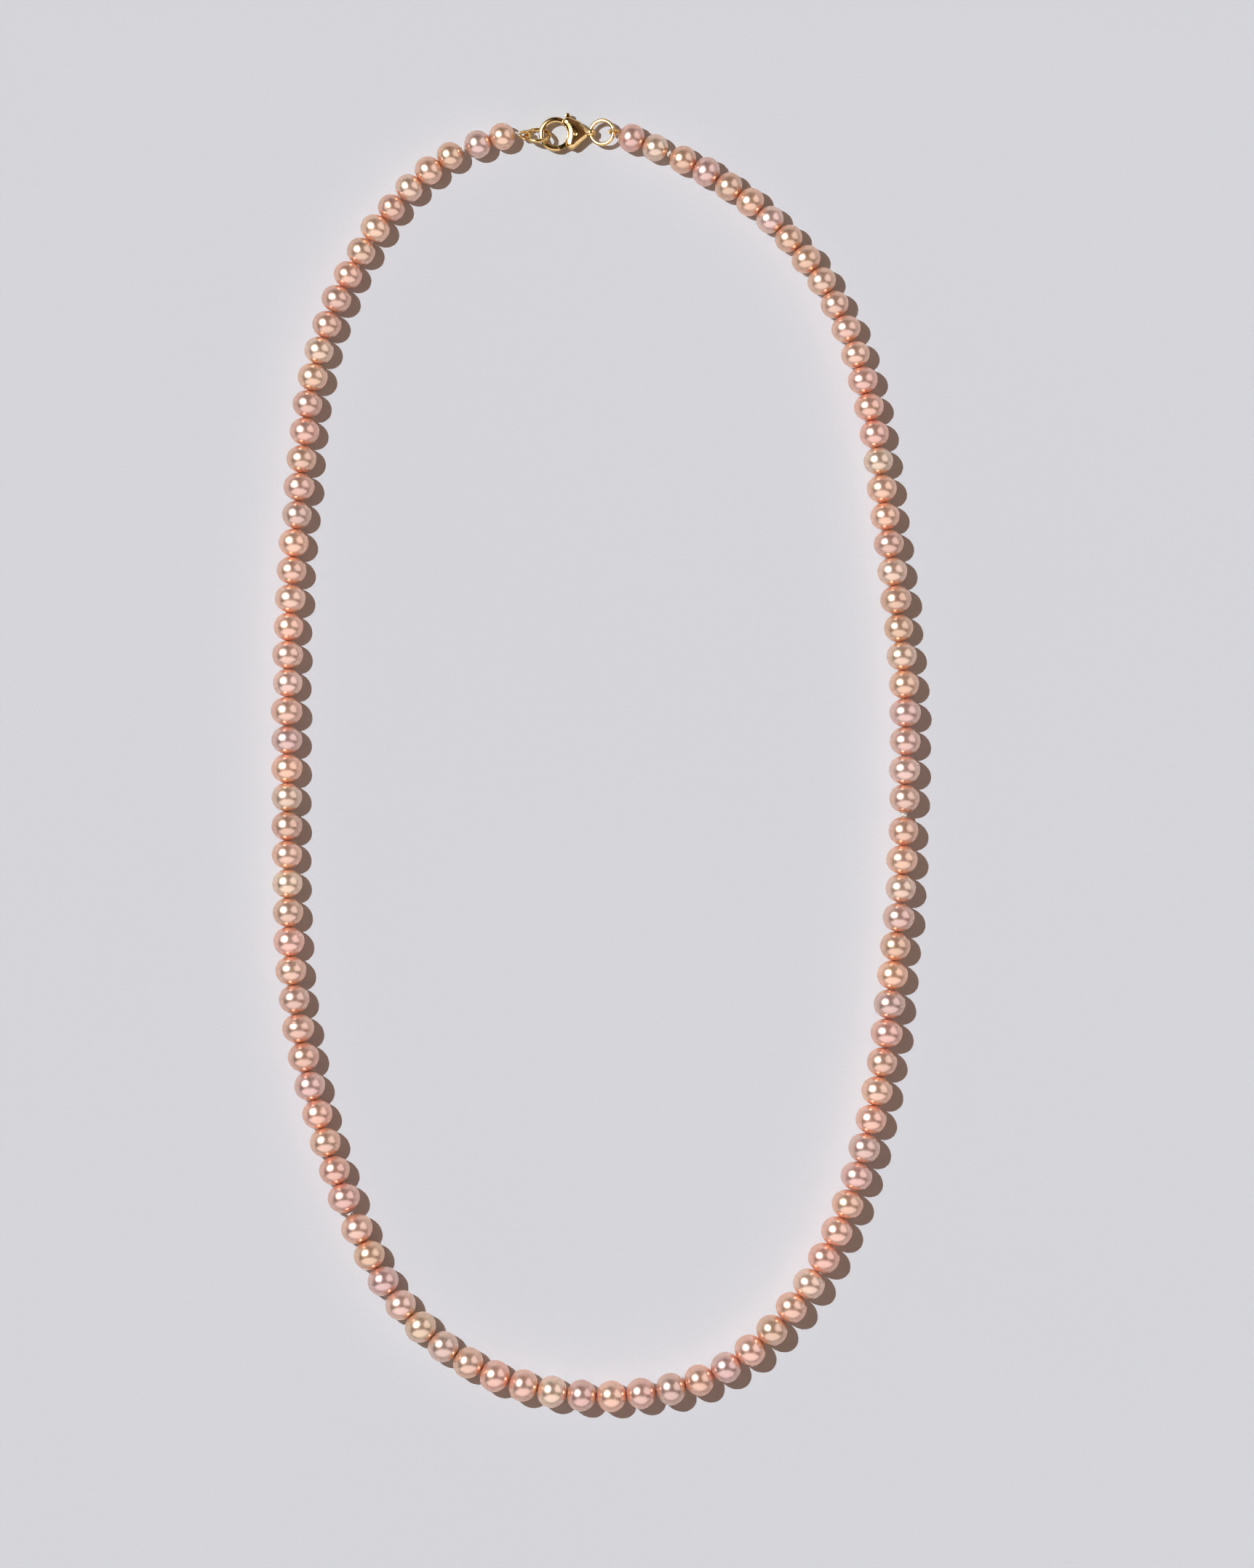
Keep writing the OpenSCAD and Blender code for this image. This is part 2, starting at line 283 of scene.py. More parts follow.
def smooth_path(points, step):
    """A Catmull-Rom curve through the points, resampled evenly at about that step."""
    p = np.asarray(points, float)
    p = np.vstack([2 * p[0] - p[1], p, 2 * p[-1] - p[-2]])
    t = np.linspace(0, 1, 24, endpoint=False)[:, None]
    out = []
    for a, b, c, d in zip(p[:-3], p[1:-2], p[2:-1], p[3:]):
        out.append((2 * b + (c - a) * t + (2 * a - 5 * b + 4 * c - d) * t ** 2
                    + (3 * b - a - 3 * c + d) * t ** 3) / 2)
    out.append(p[-2][None])
    return even(np.vstack(out), step)


def even(path, step):
    """The same path with its points at equal steps of about that length."""
    s = np.concatenate([[0], np.cumsum(np.linalg.norm(np.diff(path, axis=0), axis=1))])
    n = max(2, int(round(s[-1] / step)) + 1)
    at = np.linspace(0, s[-1], n)
    return np.stack([np.interp(at, s, path[:, k]) for k in range(3)], 1)


def frames_along(path, closed=False):
    """Tangent and two side directions at each point, turned as little as possible from one to the next."""
    if closed:
        tangent = unit(np.roll(path, -1, 0) - np.roll(path, 1, 0))
    else:
        tangent = unit(np.gradient(path, axis=0))
    side = np.cross(tangent[0], Z_AXIS if abs(tangent[0][2]) < 0.9 else X_AXIS)
    sides = []
    for t in tangent:
        side = unit(side - t * (side @ t))
        sides.append(side)
    sides = np.array(sides)
    return tangent, sides, np.cross(tangent, sides)


def tube(path, radius, around=10, closed=False):
    """Points and faces of a round tube; radius is one number or one for each point."""
    path = np.asarray(path, float)
    _, u, v = frames_along(path, closed)
    r = np.broadcast_to(radius, len(path))[:, None, None]
    a = np.linspace(0, 2 * math.pi, around, endpoint=False)[None, :, None]
    rings = path[:, None] + r * (np.cos(a) * u[:, None] + np.sin(a) * v[:, None])
    verts = rings.reshape(-1, 3)
    faces = grid_faces(len(path), around, closed)
    if not closed:
        n = len(verts)
        tips = []
        for end, way in ((0, -1), (len(path) - 1, 1)):
            out = unit(path[end] - path[end - way])
            tips.append(path[end] + out * float(np.broadcast_to(radius, len(path))[end]) * 0.5)
        verts = np.vstack([verts, tips])
        last = (len(path) - 1) * around
        for k in range(around):
            m = (k + 1) % around
            faces.append([n, m, k])
            faces.append([n + 1, last + k, last + m])
    return verts, faces


def joined(parts):
    """Several (points, faces) as one, each counted from zero."""
    verts, faces, base = [], [], 0
    for v, f in parts:
        verts.append(np.asarray(v))
        faces += [[i + base for i in face] for face in f]
        base += len(v)
    return np.vstack(verts), faces


def plies(path, around_r, ply_r, pitch, phase=0.0, count=3, sides=7):
    """Twisted plies along a path."""
    _, u, v = frames_along(path)
    s = np.concatenate([[0], np.cumsum(np.linalg.norm(np.diff(path, axis=0), axis=1))])
    out = []
    for k in range(count):
        a = (phase + 2 * math.pi * (s / pitch + k / count))[:, None]
        out.append(tube(path + around_r * (np.cos(a) * u + np.sin(a) * v), ply_r, sides))
    return joined(out)


# ---------------------------------------------------------------- where the CAD put everything
def closed_parts(obj):
    """The separate solids of a CAD node, each as an array of its points in millimetres."""
    me = obj.data
    co = np.empty(len(me.vertices) * 3, np.float32)
    me.vertices.foreach_get("co", co)
    co = co.reshape(-1, 3).astype(float) / MM
    _, same = np.unique(np.round(co * 1e4).astype(np.int64), axis=0, return_inverse=True)
    same = same.ravel()
    me.calc_loop_triangles()
    tri = np.empty(len(me.loop_triangles) * 3, np.int32)
    me.loop_triangles.foreach_get("vertices", tri)
    tri = same[tri.reshape(-1, 3)]
    label = np.arange(same.max() + 1)
    while True:
        low = label[tri].min(axis=1)
        new = label.copy()
        for k in range(3):
            np.minimum.at(new, tri[:, k], low)
        new = new[new]
        if np.array_equal(new, label):
            break
        label = new
    mine = label[same]
    return [co[mine == k] for k in np.unique(mine)]


def box_mm(node):
    lo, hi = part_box(node)
    return np.array(lo) / MM, np.array(hi) / MM


def find_pearls():
    """The pearls in order from the left end: node, body, middle, hole direction, radius and half length."""
    ring_lo, ring_hi = box_mm("jump_ring_left")
    last = (ring_lo + ring_hi) / 2
    found = []
    for node in sorted(n for n in frame["nodes"] if n.startswith("pearls_")):
        parts = closed_parts(frame["nodes"][node])
        parts.sort(key=lambda p: np.linalg.norm((p.min(0) + p.max(0)) / 2 - last))
        for p in parts:
            found.append({"node": node, "body": frame["nodes"][node]["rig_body"], "points": p,
                          "middle": (p.min(0) + p.max(0)) / 2, "r": (p[:, 2].max() - p[:, 2].min()) / 2})
        last = found[-1]["middle"]
    for i, pearl in enumerate(found):
        a, b = found[max(i - 1, 0)]["middle"], found[min(i + 1, len(found) - 1)]["middle"]
        way = unit((b - a) * [1, 1, 0])
        rel = pearl["points"] - pearl["middle"]
        for reach in (0.85, 0.5, 0.43):
            along = rel @ way
            beside = np.linalg.norm(rel - along[:, None] * way, axis=1)
            lip = (beside < reach) & (abs(along) > 0.7 * pearl["r"])
            if lip.sum() < 8:
                break
            way = unit((rel[lip & (along > 0)].mean(0) - rel[lip & (along < 0)].mean(0)) * [1, 1, 0])
        pearl["way"] = way
        pearl["half"] = np.abs((rel @ way)[lip]).max() if lip.sum() >= 8 else pearl["r"] * 0.95
    return found


pearls = find_pearls()


# ---------------------------------------------------------------- pearls
AROUND, ALONG = 64, 38  # points round a pearl, and from hole to hole
PEARL_SEED, KNOT_SEED = 4100, 70
LIP = 0.09  # mm from the drilled hole's wall out to where a pearl's round surface begins
CONTACT_GLOW_TINT = np.array([1.0, 0.88, 0.76])  # painted glow: what a pearl's colour is multiplied by at its holes, an orange stand-in for the light that touching pearls bounce onto each other
TOUCH = 0.04  # mm that an end comes closer to a neighbour on the same body than in the CAD


def pearl_shape(pearl, rng):
    """A drilled pearl with shallow flaws, made with X along the hole and then turned along the strand."""
    r, half = pearl["r"], pearl["half"]
    off = (r * r - half * half - BORE_R ** 2) / (2 * r - 2 * BORE_R)
    arc = r - off
    end = math.acos((BORE_R + LIP - off) / arc)
    t = np.linspace(-end, end, ALONG)
    a = np.linspace(0, 2 * math.pi, AROUND, endpoint=False)
    before, after = pearl["touch"]
    x, radial = arc * np.sin(t), off + arc * np.cos(t)
    x *= 1 + np.where(x < 0, before, after) / half
    n = np.stack([np.broadcast_to(np.sin(t)[:, None], (ALONG, AROUND)),
                  np.cos(t)[:, None] * np.cos(a)[None], np.cos(t)[:, None] * np.sin(a)[None]], -1)
    flaw = np.zeros((ALONG, AROUND))
    for _ in range(6):
        q = unit(np.array([rng.gauss(0, 1) for _ in range(3)])) * rng.uniform(1.2, 4.0)
        flaw += rng.uniform(0.002, 0.009) * np.sin(n @ q + rng.uniform(0, 6.28))
    if rng.random() < 0.35:  # a groove grown round the pearl
        at, width = rng.uniform(-0.6, 0.6), rng.uniform(0.04, 0.09)
        wander = 0.05 * np.sin(2 * a + rng.uniform(0, 6.28))
        flaw -= rng.uniform(0.012, 0.03) * np.exp(-(((n[..., 0] - at - wander[None]) / width) ** 2))
    for _ in range(rng.choice((0, 1, 1, 2, 3))):  # small pits
        q = unit(np.array([rng.gauss(0, 1) for _ in range(3)]))
        width = rng.uniform(0.05, 0.11)
        flaw -= rng.uniform(0.015, 0.045) * np.exp(-(((n - q) ** 2).sum(-1)) / width ** 2)
    flaw = np.minimum(flaw - flaw.mean(), 0.04) * (1 - (abs(t) / end)[:, None] ** 10)
    radial = BORE_R + (radial - BORE_R) * pearl["fat"]
    outer = np.stack([np.broadcast_to(x[:, None], flaw.shape), radial[:, None] * np.cos(a)[None],
                      radial[:, None] * np.sin(a)[None]], -1) + flaw[..., None] * n
    lip_r = radial[-1]
    edge = [(0.012, lip_r - 0.035), (0.004, lip_r - 0.065), (-0.03, lip_r - 0.085),
            (-0.12, BORE_R), (-0.6, BORE_R)]
    lip = ([(x[-1] + out, pr) for out, pr in edge] + [(0, BORE_R)]
           + [(x[0] - out, pr) for out, pr in reversed(edge)])
    inner = np.array([[(px, pr * math.cos(b), pr * math.sin(b)) for b in a] for px, pr in lip])
    rings = np.concatenate([outer, inner])
    way = pearl["way"]
    turn = np.stack([way, np.cross(Z_AXIS, way), Z_AXIS])
    faces = [f[::-1] for f in grid_faces(len(rings), AROUND, True, True)]
    return rings.reshape(-1, 3) @ turn, faces


def add_tint_and_contact_glow(obj, colour, along):
    """Colours a pearl, with a painted orange glow round its holes for the light that touching pearls bounce
    onto each other. along runs from 0 at its middle to 1 at its ends.
    """
    # painted glow: the ends of each pearl, where it touches its neighbours, are made more orange in colour in
    # place of bounced light
    contact_glow = np.clip((along - 0.66) / 0.36, 0, 1)[:, None] ** 1.5
    tint = np.array(colour) * (1 + contact_glow * (CONTACT_GLOW_TINT - 1))
    layer = obj.data.color_attributes.new("tint", "FLOAT_COLOR", "POINT")
    layer.data.foreach_set("color", np.column_stack([tint, np.ones(len(tint))]).astype(np.float32).ravel())


for i, pearl in enumerate(pearls):
    rng = random.Random(PEARL_SEED + i)
    kind = rng.choices(list(PEARL_KINDS), [v[2] for v in PEARL_KINDS.values()])[0]
    pearl["fat"] = rng.uniform(1.0, 1.05)
    pearl["touch"] = [TOUCH * (0 <= k < len(pearls) and pearls[k]["node"] == pearl["node"])
                      for k in (i - 1, i + 1)]
    verts, faces = pearl_shape(pearl, rng)
    across = np.cross(Z_AXIS, pearl["way"]) * rng.uniform(-0.07, 0.07)
    aside = across + Z_AXIS * pearl["r"] * (pearl["fat"] - 1)
    o = new_object(f"pearl_{i + 1:03d}", verts, faces, pearl_materials[kind], pearl["middle"] + aside)
    base, light = PEARL_KINDS[kind][0], rng.uniform(0.88, 1.06)
    add_tint_and_contact_glow(o, [min(1.0, c * light * rng.uniform(0.96, 1.04)) for c in base],
             abs(verts @ pearl["way"]) / pearl["half"])
    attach(o, pearl["body"])
    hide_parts(pearl["node"])


# ---------------------------------------------------------------- rings, loops and their frames
LOOP_OUT = 0.06  # mm that a silk loop's middle lies outside the middle line of its ring's wire
LOOP_R, COIL_R, COIL_WIRE_R, COIL_PITCH = 0.74, 0.235, 0.05, 0.105  # mm
LEFT_REACH, RIGHT_REACH = 1.12, 0.86  # mm from a loop's middle to the ends of its French wire
LEFT_STUB, RIGHT_STUB = LOOP_R + 0.78, LOOP_R + 0.26  # mm from a loop's middle to the strand

ring_lo, ring_hi = box_mm("jump_ring_left")
left_ring, left_half = (ring_lo + ring_hi) / 2, (ring_hi - ring_lo) / 2
ring_r = left_half[0] - RING_WIRE_R
left_tilt = math.asin((left_half[2] - RING_WIRE_R) / ring_r)
ring_lo, ring_hi = box_mm("jump_ring_right")
right_ring, right_half = (ring_lo + ring_hi) / 2, (ring_hi - ring_lo) / 2
right_tilt = math.asin((right_half[2] - RING_WIRE_R) / ring_r)


def axes(*turns):
    """The three directions of a frame, as rows, after turns of (axis letter, radians), outermost first."""
    m = Matrix.Identity(3)
    for axis, angle in turns:
        m = m @ Matrix.Rotation(angle, 3, axis)
    return np.array(m).T


left_ring_axes = axes(("X", -left_tilt))
right_ring_axes = axes(("Y", -right_tilt))
left_loop = left_ring - X_AXIS * (ring_r + LOOP_OUT)
left_loop_axes = axes(("X", math.pi / 2 - left_tilt), ("Z", math.radians(165)))
right_loop = right_ring + ring_r * right_ring_axes[0] + X_AXIS * LOOP_OUT
right_loop_axes = axes(("X", math.radians(70)), ("Z", math.radians(-16)))


def jump_ring(name, node, middle, turned, seam_at):
    """A ring of slightly uneven round wire, with the fine line of its soldered joint."""
    n, m = 160, 28
    rings = []
    for i in range(n):
        a = 2 * math.pi * i / n
        away = (a - seam_at + math.pi) % (2 * math.pi) - math.pi
        r = RING_WIRE_R * (1 - 0.10 * math.exp(-((away / 0.035) ** 2)) - 0.006 * (1 + math.sin(3 * a + 1)))
        for j in range(m):
            b = 2 * math.pi * j / m
            rings.append(((ring_r + r * math.cos(b)) * math.cos(a), (ring_r + r * math.cos(b)) * math.sin(a),
                          r * 0.985 * math.sin(b)))
    o = new_object(name, np.array(rings) @ turned, grid_faces(n, m, True, True), gold, middle)
    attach(o, frame["nodes"][node]["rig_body"])
    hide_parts(node)


jump_ring("ring_left", "jump_ring_left", left_ring, left_ring_axes, 2.2)
jump_ring("ring_right", "jump_ring_right", right_ring, right_ring_axes, 1.1)


def loop_line(reach):
    """Centreline of a French wire loop in its own plane: round, with both ends turned towards the pearl."""
    mid = [(LOOP_R * math.cos(a), LOOP_R * math.sin(a), 0) for a in np.radians(np.linspace(58, 302, 15))]
    neck = [(reach, 0.29, 0), ((reach + LOOP_R) / 2, 0.31, 0)] if reach > 0.9 else [(reach, 0.3, 0)]
    line = neck + mid + [(x, -y, z) for x, y, z in reversed(neck)]
    return smooth_path(line, 0.03)


def french_wire(name, node, middle, turned, reach):
    """Fine gold wire coiled round the silk."""
    line = even(loop_line(reach), COIL_PITCH / 14)
    _, u, v = frames_along(line)
    s = np.concatenate([[0], np.cumsum(np.linalg.norm(np.diff(line, axis=0), axis=1))])
    a = (2 * math.pi * s / COIL_PITCH)[:, None]
    coil = line + (COIL_R - 0.004 * np.sin(5 * s)[:, None]) * (np.cos(a) * u + np.sin(a) * v)
    verts, faces = tube(coil, COIL_WIRE_R, 7)
    o = new_object(name, verts @ turned, faces, gold_coil, middle)
    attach(o, frame["nodes"][node]["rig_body"])
    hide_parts(node)


def loop_silk(name, node, middle, turned, reach, stub):
    """The silk inside a French wire loop, both legs gathered into the strand."""
    line = loop_line(reach)
    leg = np.array([(stub, 0, 0), ((stub + reach) / 2, 0.13, 0)])
    path = smooth_path(np.vstack([leg, line[::6], (leg * [1, -1, 1])[::-1]]), 0.07)
    verts, faces = plies(path, 0.075, 0.08, 0.9)
    o = new_object(name, verts @ turned, faces, silk, middle)
    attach(o, frame["nodes"][node]["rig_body"])
    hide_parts(node)


french_wire("french_wire_coil_left", "french_wire_left", left_loop, left_loop_axes, LEFT_REACH)
french_wire("french_wire_coil_right", "french_wire_right", right_loop, right_loop_axes, RIGHT_REACH)
loop_silk("silk_in_loop_left", "silk_loop_left", left_loop, left_loop_axes, LEFT_REACH, LEFT_STUB)
loop_silk("silk_in_loop_right", "silk_loop_right", right_loop, right_loop_axes, RIGHT_REACH, RIGHT_STUB)


# ---------------------------------------------------------------- silk strand and knots
SILK_PITCH, PLY_OUT, PLY_R = 1.15, 0.118, 0.128  # mm: the twist, each ply's offset, and its radius


def knot(middle, way, rng):
    """A tight overhand knot between two pearls."""
    t = np.linspace(0, 2 * math.pi, 90, endpoint=False)
    size = rng.uniform(0.94, 1.02)
    ring = 0.30 + 0.13 * np.cos(3 * t)
    line = np.stack([0.17 * np.sin(3 * t), ring * np.cos(2 * t), ring * np.sin(2 * t)], -1) * size
    roll = rng.uniform(0, 6.28)
    turned = np.stack([way, np.cross(Z_AXIS, way), Z_AXIS])
    turned = np.array(Matrix.Rotation(roll, 3, "X")).T @ turned
    return tube(line @ turned + middle, 0.185, 9, closed=True)


def hole(pearl, side):
    """The middle of a pearl's hole at its end, with side -1 towards the left end of the strand and 1 away."""
    return pearl["middle"] + side * pearl["half"] * pearl["way"]


left_end = left_loop + LEFT_STUB * left_loop_axes[0]
right_end = right_loop + RIGHT_STUB * right_loop_axes[0]
travelled = 0.0
for node in sorted(n for n in frame["nodes"] if n.startswith("silk_") and n[5:].isdigit()):
    run = [i for i, p in enumerate(pearls) if p["node"] == "pearls_" + node[5:]]
    first, last = run[0], run[-1]
    start = left_end if first == 0 else (hole(pearls[first - 1], 1) + hole(pearls[first], -1)) / 2
    stop = right_end if last == len(pearls) - 1 else (hole(pearls[last], 1) + hole(pearls[last + 1], -1)) / 2
    points, parts = [start], []
    for i in run:
        points += [hole(pearls[i], -1), pearls[i]["middle"], hole(pearls[i], 1)]
        if i != last:
            a, b = hole(pearls[i], 1), hole(pearls[i + 1], -1)
            if np.linalg.norm(b - a) > KNOT_GAP:
                parts.append(knot((a + b) / 2, unit(b - a), random.Random(KNOT_SEED + i)))
    points.append(stop)
    line = smooth_path(points, 0.085)
    parts.append(plies(line, PLY_OUT, PLY_R, SILK_PITCH, 2 * math.pi * travelled / SILK_PITCH))
    travelled += np.linalg.norm(np.diff(line, axis=0), axis=1).sum()
    middle = pearls[run[len(run) // 2]]["middle"]
    verts, faces = joined(parts)
    o = new_object("silk_strand_" + node[5:], verts - middle, faces, silk, middle)
    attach(o, frame["nodes"][node]["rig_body"])
    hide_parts(node)


# ---------------------------------------------------------------- clasp
def applied(o):
    """Makes an object's modifiers part of its mesh."""
    bpy.context.view_layer.update()
    done = bpy.data.meshes.new_from_object(o.evaluated_get(bpy.context.evaluated_depsgraph_get()))
    o.modifiers.clear()
    o.data = done


def cast(name, node, voxel, soften, material, sculpt=None):
    """A finely meshed copy of a CAD node with its edges softened, as on a cast and polished part.
    sculpt takes and gives back its points in millimetres."""
    me = frame["nodes"][node].data.copy()
    me.name = name
    me.transform(Matrix.Scale(1 / MM, 4))
    bm = bmesh.new()
    bm.from_mesh(me)
    bmesh.ops.remove_doubles(bm, verts=bm.verts, dist=1e-4)
    bm.to_mesh(me)
    bm.free()
    o = bpy.data.objects.new(name, me)
    bpy.context.scene.collection.objects.link(o)
    remesh = o.modifiers.new("remesh", "REMESH")
    remesh.mode, remesh.voxel_size, remesh.use_smooth_shade = "VOXEL", voxel, True
    applied(o)
    if sculpt:
        co = np.empty(len(o.data.vertices) * 3, np.float32)
        o.data.vertices.foreach_get("co", co)
        o.data.vertices.foreach_set("co", sculpt(co.reshape(-1, 3).astype(float)).astype(np.float32).ravel())
    smooth = o.modifiers.new("soften", "SMOOTH")
    smooth.factor, smooth.iterations = 0.5, soften
    applied(o)
    done = o.data
    middle = (Vector(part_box(node)[0]) + Vector(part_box(node)[1])) / 2
    done.transform(Matrix.Translation(-middle) @ Matrix.Scale(MM, 4))
    done.materials.clear()
    done.materials.append(material)
    o.location = middle
    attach(o, frame["nodes"][node]["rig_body"])
    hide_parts(node)
    return o


CLAW_R, HOOK_W, PIN_R = 2.05, 0.9, 0.3  # mm: the claw's opening, the hook's width and the lever's pin
PIN_DOWN = 0.1  # mm that the pin's axis lies below the claw's middle line
SLOT_TOP = 0.46  # mm above the middle plane, from where up the body is solid over the lever's slot
DOME_R, SHOULDER_UP = 9.5, 1.05  # mm, radius and top of the CAD body's domes
# x, y and radius of the rounds in the CAD body's outline, about the claw's middle
BODY_ROUNDS = ((2.2, 2.0, 1.0), (3.6, 1.25, 1.1), (2.75, -1.72, 0.95), (5.1, 0.15, 0.85))
lo, hi = box_mm("clasp_body")
claw = np.array([lo[0] + CLAW_R + HOOK_W, 0, (lo[2] + hi[2]) / 2])
claw[1] = box_mm("lever_pin")[0][1] + PIN_R + PIN_DOWN


def puffed(co):
    """Makes the shoulders puffy, rounded down to the outline and the opening, and crowns the hook."""
    p = co - claw
    r = np.hypot(p[:, 0], p[:, 1])
    case = (r > CLAW_R + 0.03) & (p[:, 0] > 0.9) & (p[:, 0] < 5.7) & (abs(p[:, 2]) > SLOT_TOP)
    hook = (r < CLAW_R + 1.0) & (p[:, 0] < 1.7)
    over = np.clip((r[hook] - CLAW_R - 0.42) / 0.48, -1, 1)
    fade = np.clip((1.5 - p[hook][:, 0]) / 0.6, 0, 1)
    crowned = p[hook, 2] * (1 - 0.34 * fade * over ** 2)
    q = p[case]
    a = np.linspace(0, 2 * math.pi, 240, endpoint=False)
    ways = np.stack([np.cos(a), np.sin(a)])
    furthest = np.max([np.array(c[:2]) @ ways + c[2] for c in BODY_ROUNDS], axis=0)
    from_outline = (furthest - q[:, :2] @ ways).min(axis=1)
    from_opening = r[case] - CLAW_R
    soft = 0.1  # mm, so that the nearer of the two edges takes over smoothly
    away = -soft * np.log(np.exp(-np.maximum(from_outline, 0) / soft) + np.exp(-from_opening / soft))
    rise = np.sqrt(np.maximum(1 - (1 - np.clip(away / 1.15, 0, 1)) ** 2, 0))
    middle = np.hypot(q[:, 0] - 3.0, q[:, 1] - 0.1)
    dome = SHOULDER_UP - DOME_R + np.sqrt(DOME_R ** 2 - np.minimum(middle, 5) ** 2)
    wanted = 0.57 + 0.63 * rise * (1 - 0.03 * middle)
    share = np.clip((abs(q[:, 2]) - SLOT_TOP) / np.maximum(dome - SLOT_TOP, 0.06), 0, 1.02)
    blend = np.clip((q[:, 0] - 0.9) / 0.8, 0, 1)
    blend = blend * blend * (3 - 2 * blend)
    p[hook, 2] = crowned
    height = SLOT_TOP + share * (wanted - SLOT_TOP)
    p[case, 2] += blend * (np.sign(q[:, 2]) * height - p[case, 2])
    p[hook, :2] *= (1 + 0.03 * fade * np.clip(over, 0, 1))[:, None]
    return p + claw


def thumbed(co):
    """A rounder, fuller thumb nub on the lever."""
    p = co - claw
    from_nub = p[:, :2] - [2.08, 3.28]
    d = np.linalg.norm(from_nub, axis=1)
    push = np.clip(1.35 - d / 0.6, 0, 1)[:, None]
    p[:, :2] += from_nub / np.maximum(d, 0.05)[:, None] * 0.12 * push
    p[:, 2] *= 1 - 0.25 * np.clip(1 - (0.5 - d) / 0.3, 0, 1) * push[:, 0]
    return p + claw


cast("clasp_case", "clasp_body", 0.042, 20, gold, puffed)
cast("clasp_trigger", "trigger_lever", 0.03, 6, gold, thumbed)
leaf = cast("clasp_leaf_spring", "lever_spring", 0.02, 3, steel)
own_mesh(leaf)


def rivet(name, node):
    """The lever's pin, with both ends domed and a worn rim."""
    lo, hi = box_mm(node)
    r, half = (hi[0] - lo[0]) / 2, (hi[2] - lo[2]) / 2
    half += 0.2  # up to the top of the puffed case
    side = [(0.02, half + 0.06), (r * 0.45, half + 0.05), (r * 0.8, half + 0.01),
            (r * 0.96, half - 0.05), (r, half - 0.12)]
    profile = side + [(r, half * f) for f in (0.5, 0, -0.5)] + [(x, -z) for x, z in reversed(side)]
    n = 40
    rings = [(x * math.cos(2 * math.pi * k / n), x * math.sin(2 * math.pi * k / n), z)
             for x, z in profile for k in range(n)]
    caps = [list(range(n)), list(range(len(rings) - 1, len(rings) - n - 1, -1))]
    faces = grid_faces(len(profile), n) + caps
    o = new_object(name, rings, [f[::-1] for f in faces], gold, (lo + hi) / 2)
    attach(o, frame["nodes"][node]["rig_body"])
    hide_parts(node)


rivet("clasp_pin", "lever_pin")


# ---------------------------------------------------------------- floor and light
FLOOR_HALF, FLOOR_DOWN = 6000, 0.02  # mm, half its width and how far it lies below the CAD's ground
corners = [(x * FLOOR_HALF, y * FLOOR_HALF, 0) for x, y in ((-1, -1), (1, -1), (1, 1), (-1, 1))]
floor = new_object("floor", corners, [[0, 1, 2, 3]], floor_material(), (0, 0, -FLOOR_DOWN))

# A small bright lamp at the upper left gives the crisp shadows. Its light is evened out over the floor.
LAMP_AT = (-0.45, 0.27, 0.89)  # metres
EVEN_TO = 1.4  # metres from the lamp
lamp = bpy.data.objects.new("key_lamp", bpy.data.lights.new("key_lamp", "POINT"))
bpy.context.scene.collection.objects.link(lamp)
lamp.location = LAMP_AT
lamp.data.energy = 31
lamp.data.color = (0.90, 1.0, 1.08)
lamp.data.shadow_soft_size = 0.012
lamp.data.use_nodes = True
tree = lamp.data.node_tree
falloff = tree.nodes.new("ShaderNodeLightFalloff")
path = tree.nodes.new("ShaderNodeLightPath")
even_out = tree.nodes.new("ShaderNodeMath")
even_out.operation = "MULTIPLY"
nearest = tree.nodes.new("ShaderNodeMath")
nearest.operation = "MINIMUM"
nearest.inputs[1].default_value = EVEN_TO
falloff.inputs["Strength"].default_value = 1.0
tree.links.new(path.outputs["Ray Length"], nearest.inputs[0])
tree.links.new(falloff.outputs["Constant"], even_out.inputs[0])
tree.links.new(nearest.outputs[0], even_out.inputs[1])
tree.links.new(even_out.outputs[0], tree.nodes["Emission"].inputs["Strength"])

# The room: warm and dim overhead, paler towards the horizon.
world = bpy.data.worlds.new("room")
bpy.context.scene.world = world
world.use_nodes = True
tree = world.node_tree
direction = tree.nodes.new("ShaderNodeTexCoord")
split = tree.nodes.new("ShaderNodeSeparateXYZ")
sky = tree.nodes.new("ShaderNodeValToRGB")
tree.links.new(direction.outputs["Generated"], split.inputs[0])
tree.links.new(split.outputs["Z"], sky.inputs["Fac"])
tree.links.new(sky.outputs["Color"], tree.nodes["Background"].inputs["Color"])
stops = [(0.0, (0.60, 0.57, 0.58)), (0.16, (0.48, 0.43, 0.41)),
         (0.34, (0.23, 0.15, 0.115)), (1.0, (0.17, 0.105, 0.075))]
while len(sky.color_ramp.elements) < len(stops):
    sky.color_ramp.elements.new(0.5)
for element, (at, colour) in zip(sky.color_ramp.elements, stops):
    element.position, element.color = at, (*colour, 1)


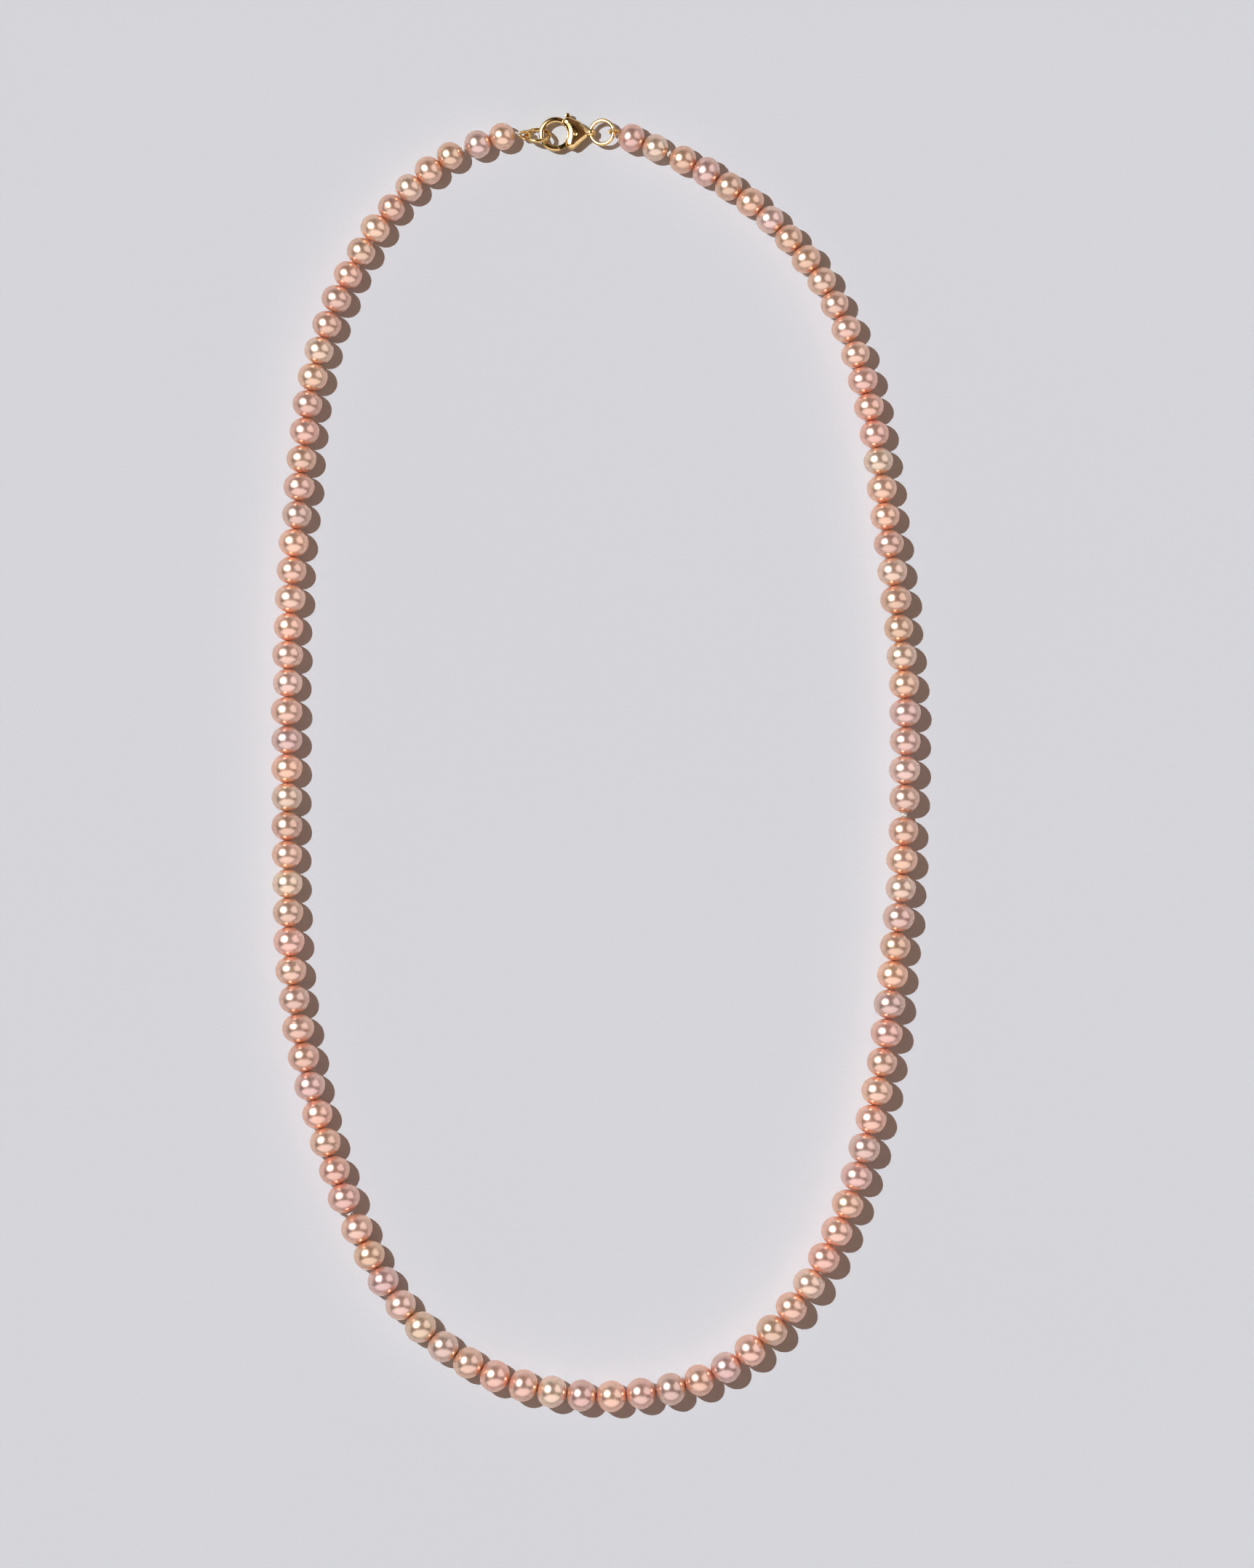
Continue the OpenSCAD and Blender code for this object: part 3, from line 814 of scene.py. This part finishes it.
def soft_box(name, facing, half, depth, outer, distance, strength, colour, fade=0.12, round_off=0.0):
    """A studio reflector that only shows in reflections. On a pearl seen from above, in radii of that pearl,
    it shows as the part of a disc of radius outer that lies beyond a straight line at that depth. facing is
    its direction and half its spread to each side, in degrees. It bends round the object at that distance,
    in millimetres. Its edges fade over that share of its width, or round_off, in millimetres, makes it a
    round glow."""
    s = Shader(name)
    emit = s.node("ShaderNodeEmission")
    emit.inputs["Color"].default_value = (*colour, 1)
    s.link(emit.outputs[0], s.tree.nodes["Material Output"].inputs["Surface"])
    n, verts, glow = 25, [], []
    for i in range(n):
        for j in range(n):
            u, v = i / (n - 1), j / (n - 1)
            off = math.radians((2 * u - 1) * half)
            inner = depth / math.cos(off)
            rho, angle = inner + (max(outer, inner + 0.02) - inner) * v, math.radians(facing) + off
            x, y = rho * math.cos(angle), rho * math.sin(angle)
            z = math.sqrt(max(1 - rho * rho, 0))
            verts.append(np.array([2 * x * z, 2 * y * z, 2 * z * z - 1]) * distance)
            near = [min(1.0, side / fade) for side in (u, 1 - u, v * 2.5, (1 - v) * 0.6)]
            glow.append(strength * math.prod(t * t * (3 - 2 * t) for t in near))
    verts = np.array(verts)
    middle = (verts.min(0) + verts.max(0)) / 2
    power = s.node("ShaderNodeMath", operation="MULTIPLY")
    if round_off:
        size = s.node("ShaderNodeMapping")
        size.inputs["Scale"].default_value = [1000 / round_off] * 3
        ball = s.node("ShaderNodeTexGradient", gradient_type="QUADRATIC_SPHERE")
        s.link(s.coords, size.inputs["Vector"])
        s.link(size.outputs["Vector"], ball.inputs["Vector"])
        power.inputs[1].default_value = strength
        s.link(ball.outputs["Fac"], power.inputs[0])
    else:
        power.inputs[1].default_value = 1.0
        s.link(s.node("ShaderNodeAttribute", attribute_name="glow").outputs["Fac"], power.inputs[0])
    s.link(power.outputs[0], emit.inputs["Strength"])
    o = new_object(name, verts - middle, grid_faces(n, n, False, False), s.material, middle)
    o.data.attributes.new("glow", "FLOAT", "POINT").data.foreach_set("value", np.array(glow, np.float32))
    o.visible_camera = o.visible_diffuse = o.visible_shadow = o.visible_transmission = False


DAYLIGHT = (1.0, 0.98, 1.02)
soft_box("window_below", -88, 66, 0.14, 0.70, 2500, 1.25, DAYLIGHT)
soft_box("window_right", 24, 34, 0.24, 0.70, 2500, 1.15, DAYLIGHT)
soft_box("lamp_diffuser", 148, 60, 0.02, 0.62, 1050, 22.0, (1.0, 1.0, 1.0), round_off=570)
